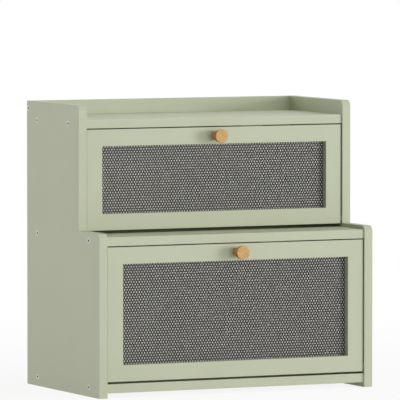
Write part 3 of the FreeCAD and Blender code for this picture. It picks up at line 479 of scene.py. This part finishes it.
def bump_height(x, z):
    """How far a point stands up its bump, from 0 on the flats to 1 on the crown."""
    row_step = BUMP_PITCH * math.sqrt(3) / 2
    row = round(z / row_step)
    nearest = BUMP_FOOT
    for near_row in (row - 1, row, row + 1):
        shift = BUMP_PITCH / 2 * (near_row % 2)
        middle = round((x - shift) / BUMP_PITCH) * BUMP_PITCH + shift
        across = (x - middle) / (CROWN_WIDTH / 2)
        up = (z - near_row * row_step) / (CROWN_HEIGHT / 2)
        nearest = min(nearest, math.hypot(across, up))
    return math.cos(math.pi / 2 * nearest / BUMP_FOOT) ** 2


def lattice(mesh, low, high):
    """Flat triangle lattice that covers low to high, in line with the bumps."""
    step = BUMP_PITCH / STEPS_PER_BUMP
    row_step = step * math.sqrt(3) / 2
    rows = range(math.floor(low.z / row_step) - 1, math.ceil(high.z / row_step) + 2)
    columns = range(math.floor(low.x / step) - 1, math.ceil(high.x / step) + 2)
    previous = None
    for row in rows:
        shift = step / 2 * (row % 2)
        line = [mesh.verts.new((column * step + shift, low.y, row * row_step))
                for column in columns]
        if previous:
            add_triangles(mesh, previous, line, row % 2)
        previous = line


def add_triangles(mesh, below, above, above_is_shifted):
    """Fill the strip between two rows of the lattice with triangles."""
    for column in range(len(below) - 1):
        a, b = below[column], below[column + 1]
        c, d = above[column], above[column + 1]
        if above_is_shifted:
            mesh.faces.new((a, b, c))
            mesh.faces.new((b, d, c))
        else:
            mesh.faces.new((a, b, d))
            mesh.faces.new((a, d, c))


def cut(mesh, point, normal, remove):
    """Cut the mesh along a plane, and remove what lies on the normal's side if asked."""
    everything = mesh.verts[:] + mesh.edges[:] + mesh.faces[:]
    bmesh.ops.bisect_plane(mesh, geom=everything, plane_co=point, plane_no=normal,
                           clear_outer=remove)


def close_behind(mesh, depth):
    """Add walls behind the sheet's outline and a flat back at the depth."""
    outline = [edge for edge in mesh.edges if edge.is_boundary]
    behind = {}
    for edge in outline:
        for vertex in edge.verts:
            if vertex not in behind:
                behind[vertex] = mesh.verts.new((vertex.co.x, depth, vertex.co.z))
    back_edges = []
    for first, second in (edge.verts for edge in outline):
        mesh.faces.new((first, second, behind[second], behind[first]))
        back_edges.append(mesh.edges.get((behind[first], behind[second])))
    bmesh.ops.edgeloop_fill(mesh, edges=back_edges)


def make_window(name, node, door, front, back):
    """Acrylic sheet with a honeycomb of low bumps on its front, in place of a plain one."""
    low, high = (Vector(corner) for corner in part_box(node))
    mesh = bmesh.new()
    lattice(mesh, low, high)
    rim = Vector((WINDOW_RIM, 0, WINDOW_RIM))
    for start, end, remove in ((low, high, True), (low + rim, high - rim, False)):
        for axis in (Vector((1, 0, 0)), Vector((0, 0, 1))):
            cut(mesh, start, -axis, remove)
            cut(mesh, end, axis, remove)

    start, end = low + rim, high - rim
    for vertex in mesh.verts:
        x, z = vertex.co.x, vertex.co.z
        if start.x + TINY < x < end.x - TINY and start.z + TINY < z < end.z - TINY:
            vertex.co.y -= BUMP_HEIGHT * bump_height(x, z)

    close_behind(mesh, high.y)
    bmesh.ops.recalc_face_normals(mesh, faces=mesh.faces[:])
    for face in mesh.faces:
        on_front = all(vertex.co.y < low.y + TINY for vertex in face.verts)
        face.smooth = on_front
        face.material_index = 0 if on_front else 1

    data = bpy.data.meshes.new(name)
    mesh.to_mesh(data)
    mesh.free()
    data.materials.append(front)
    data.materials.append(back)
    sheet = bpy.data.objects.new(name, data)
    bpy.context.scene.collection.objects.link(sheet)
    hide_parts(node)
    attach(sheet, door)


# ---------------------------------------------------------------- finishes by material slot


def dress_nodes():
    """Give every shown CAD node the finish of its material slot.

    Beech takes its grain, light wood, dark wood and roughness; metal and moulded plastic take
    their colour and roughness.
    """
    finishes = {
        "painted_board": painted_board(),
        "knob_beech": beech("knob_beech", Vector((0, 1, 0)), (0.72, 0.445, 0.165),
                            (0.46, 0.255, 0.078), 0.5),
        "dowel_beech": beech("dowel_beech", Vector((1, 0, 0)), (0.70, 0.52, 0.33),
                             (0.52, 0.36, 0.2), 0.65),
        "screw_steel": sunk_screw(),
        "zinc_steel": metal("zinc_steel", (0.68, 0.69, 0.70), 0.35),
        "pin_steel": metal("pin_steel", (0.60, 0.61, 0.62), 0.25),
        "magnet_nickel": metal("magnet_nickel", (0.38, 0.37, 0.35), 0.4),
        "bush_nylon": moulded("bush_nylon", (0.80, 0.79, 0.73), 0.5),
        "catch_plastic": moulded("catch_plastic", (0.78, 0.78, 0.74), 0.45),
        "clip_plastic": moulded("clip_plastic", (0.78, 0.78, 0.74), 0.45),
    }
    finishes["back_board"] = finishes["painted_board"]
    finishes["patterned_acrylic"] = patterned_acrylic()
    for part in frame["record"]["subparts"]:
        node = frame["nodes"][part["node"]]
        node.data.materials.clear()
        node.data.materials.append(finishes[part["material_slot"]])
    return finishes


bpy.context.scene.view_settings.view_transform = "Standard"
make_camera()
make_world()
make_floor()
make_lamps()
made = dress_nodes()
smooth_back = clear_acrylic()
for tier in ("lower", "upper"):
    make_window(f"{tier}_patterned_window", f"{tier}_window", f"{tier}_door",
                made["patterned_acrylic"], smooth_back)
